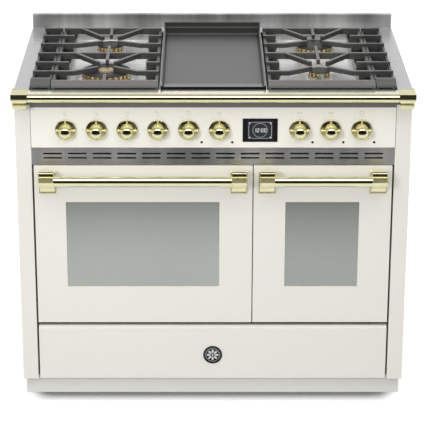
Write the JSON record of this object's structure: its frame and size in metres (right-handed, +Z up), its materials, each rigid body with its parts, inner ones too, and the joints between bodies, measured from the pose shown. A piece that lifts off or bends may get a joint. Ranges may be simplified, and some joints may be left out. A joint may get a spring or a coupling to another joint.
{
  "type": "range cooker",
  "caption": "Free-standing range cooker: gas hob with a centre griddle, knob panel with a display, drop-down oven doors with bar handles, and a storage drawer",
  "frame": {"origin": "on the floor under the middle of the bounding box", "axes": "+X to the cook's right, the front with its doors and knobs faces -Y, +Z up"},
  "size_m": [1.009, 0.664, 0.888],
  "materials": {
    "cream_enamel": "satin-gloss baked enamel, warm cream",
    "plinth_enamel": "satin cream enamel, slightly greyer",
    "brushed_steel": "fine horizontal brushing",
    "polished_brass": "mirror-polished pale brass",
    "burner_brass": "turned brass, warmer where heated",
    "fitting_brass": "machined, dull",
    "cast_aluminium": "die cast, matte",
    "black_enamel": "matte black vitreous enamel",
    "cast_iron": "matte enamelled cast iron, fine grain",
    "griddle_steel": "satin ground steel plate, darker",
    "black_glass": "gloss black display glass",
    "oven_glass": "grey-green tempered glass",
    "oven_enamel": "speckled dark grey vitreous enamel",
    "zinc_steel": "galvanised sheet, faint spangle",
    "black_plastic": "moulded, fine texture",
    "lamp_lens": "dark red lens",
    "mineral_wool": "fibrous insulation blanket",
    "rack_chrome": "bright chromed wire",
    "element_steel": "heat-darkened tube",
    "seal_rubber": "matte silicone",
    "medallion_black": "gloss black disc with a chrome rim"
  },
  "bodies": {
    "carcass": {"base_pan": "zinc_steel", "plinth": "plinth_enamel", "feet": "black_plastic", "side_panel_left": "cream_enamel", "side_panel_right": "cream_enamel", "back_panel": "zinc_steel", "worktop": "brushed_steel", "upstand": "brushed_steel", "front_rail": "polished_brass", "rail_corners": "polished_brass", "control_panel": "cream_enamel", "vent_strip": "brushed_steel", "display_unit": "black_glass", "indicator_lamps": "lamp_lens", "burner_bases": "cast_aluminium", "flame_rings": "burner_brass", "burner_caps": "black_enamel", "griddle_plate": "griddle_steel", "gas_rail": "fitting_brass", "switch_bodies": "black_plastic", "oven_cavities": "oven_enamel", "insulation": "mineral_wool", "oven_racks": "rack_chrome", "heating_elements": "element_steel", "fan_motors": "zinc_steel", "door_hinges": "zinc_steel", "door_seals": "seal_rubber", "drawer_runners": "zinc_steel"},
    "door_left": {"door_left_skin": "cream_enamel", "door_left_glass": "oven_glass", "door_left_liner": "oven_enamel", "door_left_bar": "polished_brass", "door_left_brackets": "polished_brass"},
    "door_right": {"door_right_skin": "cream_enamel", "door_right_glass": "oven_glass", "door_right_liner": "oven_enamel", "door_right_bar": "polished_brass", "door_right_brackets": "polished_brass"},
    "drawer": {"drawer_front": "cream_enamel", "drawer_box": "zinc_steel", "medallion": "medallion_black"},
    "grate_left": {"grate_left": "cast_iron"},
    "grate_right": {"grate_right": "cast_iron"},
    "side_grate_left": {"side_grate_left": "cast_iron"},
    "side_grate_right": {"side_grate_right": "cast_iron"},
    "fan_left": {"fan_left": "zinc_steel"},
    "fan_right": {"fan_right": "zinc_steel"},
    "tap_plug_1": {"tap_plug_1": "fitting_brass"},
    "tap_plug_2": {"tap_plug_2": "fitting_brass"},
    "tap_plug_3": {"tap_plug_3": "fitting_brass"},
    "tap_plug_4": {"tap_plug_4": "fitting_brass"},
    "knob_1": {"knob_1": "polished_brass"},
    "knob_2": {"knob_2": "polished_brass"},
    "knob_3": {"knob_3": "polished_brass"},
    "knob_4": {"knob_4": "polished_brass"},
    "knob_5": {"knob_5": "polished_brass"},
    "knob_6": {"knob_6": "polished_brass"},
    "knob_7": {"knob_7": "polished_brass"},
    "knob_8": {"knob_8": "polished_brass"},
    "knob_9": {"knob_9": "polished_brass"}
  },
  "joints": [
    {"name": "door_left_hinge", "type": "hinge", "parent": "carcass", "child": "door_left", "pos_m": [0, -0.266, 0.2264], "axis": [1, 0, 0], "range_deg": [0, 90]},
    {"name": "door_right_hinge", "type": "hinge", "parent": "carcass", "child": "door_right", "pos_m": [0, -0.266, 0.2264], "axis": [1, 0, 0], "range_deg": [0, 90]},
    {"name": "drawer_slide", "type": "slide", "parent": "carcass", "child": "drawer", "axis": [0, -1, 0], "range_m": [0, 0.33]},
    {"name": "tap_1_turn", "type": "hinge", "parent": "carcass", "child": "tap_plug_1", "pos_m": [-0.372, -0.27, 0.746], "axis": [0, -1, 0], "range_deg": [0, 150]},
    {"name": "knob_1_push", "type": "slide", "parent": "tap_plug_1", "child": "knob_1", "axis": [0, 1, 0], "range_m": [0, 0.003], "stiffness_N_per_m": 1200, "springref_m": -0.003},
    {"name": "tap_2_turn", "type": "hinge", "parent": "carcass", "child": "tap_plug_2", "pos_m": [-0.2945, -0.27, 0.746], "axis": [0, -1, 0], "range_deg": [0, 150]},
    {"name": "knob_2_push", "type": "slide", "parent": "tap_plug_2", "child": "knob_2", "axis": [0, 1, 0], "range_m": [0, 0.003], "stiffness_N_per_m": 1200, "springref_m": -0.003},
    {"name": "tap_3_turn", "type": "hinge", "parent": "carcass", "child": "tap_plug_3", "pos_m": [-0.217, -0.27, 0.746], "axis": [0, -1, 0], "range_deg": [0, 150]},
    {"name": "knob_3_push", "type": "slide", "parent": "tap_plug_3", "child": "knob_3", "axis": [0, 1, 0], "range_m": [0, 0.003], "stiffness_N_per_m": 1200, "springref_m": -0.003},
    {"name": "tap_4_turn", "type": "hinge", "parent": "carcass", "child": "tap_plug_4", "pos_m": [-0.1395, -0.27, 0.746], "axis": [0, -1, 0], "range_deg": [0, 150]},
    {"name": "knob_4_push", "type": "slide", "parent": "tap_plug_4", "child": "knob_4", "axis": [0, 1, 0], "range_m": [0, 0.003], "stiffness_N_per_m": 1200, "springref_m": -0.003},
    {"name": "knob_5_turn", "type": "hinge", "parent": "carcass", "child": "knob_5", "pos_m": [-0.062, -0.28, 0.746], "axis": [0, -1, 0], "range_deg": [-290, 0]},
    {"name": "knob_6_turn", "type": "hinge", "parent": "carcass", "child": "knob_6", "pos_m": [0.0155, -0.28, 0.746], "axis": [0, -1, 0], "range_deg": [-290, 0]},
    {"name": "knob_7_turn", "type": "hinge", "parent": "carcass", "child": "knob_7", "pos_m": [0.218, -0.28, 0.746], "axis": [0, -1, 0], "range_deg": [-290, 0]},
    {"name": "knob_8_turn", "type": "hinge", "parent": "carcass", "child": "knob_8", "pos_m": [0.296, -0.28, 0.746], "axis": [0, -1, 0], "range_deg": [-290, 0]},
    {"name": "knob_9_turn", "type": "hinge", "parent": "carcass", "child": "knob_9", "pos_m": [0.374, -0.28, 0.746], "axis": [0, -1, 0], "range_deg": [-290, 0]},
    {"name": "grate_left_lift", "type": "slide", "parent": "carcass", "child": "grate_left", "axis": [0, 0, 1], "range_m": [0, 0.12]},
    {"name": "grate_right_lift", "type": "slide", "parent": "carcass", "child": "grate_right", "axis": [0, 0, 1], "range_m": [0, 0.12]},
    {"name": "side_grate_left_lift", "type": "slide", "parent": "carcass", "child": "side_grate_left", "axis": [0, 0, 1], "range_m": [0, 0.12]},
    {"name": "side_grate_right_lift", "type": "slide", "parent": "carcass", "child": "side_grate_right", "axis": [0, 0, 1], "range_m": [0, 0.12]},
    {"name": "fan_left_spin", "type": "hinge", "parent": "carcass", "child": "fan_left", "pos_m": [-0.1774, 0.22, 0.4365], "axis": [0, -1, 0], "continuous": true},
    {"name": "fan_right_spin", "type": "hinge", "parent": "carcass", "child": "fan_right", "pos_m": [0.2796, 0.22, 0.4365], "axis": [0, -1, 0], "continuous": true}
  ]
}
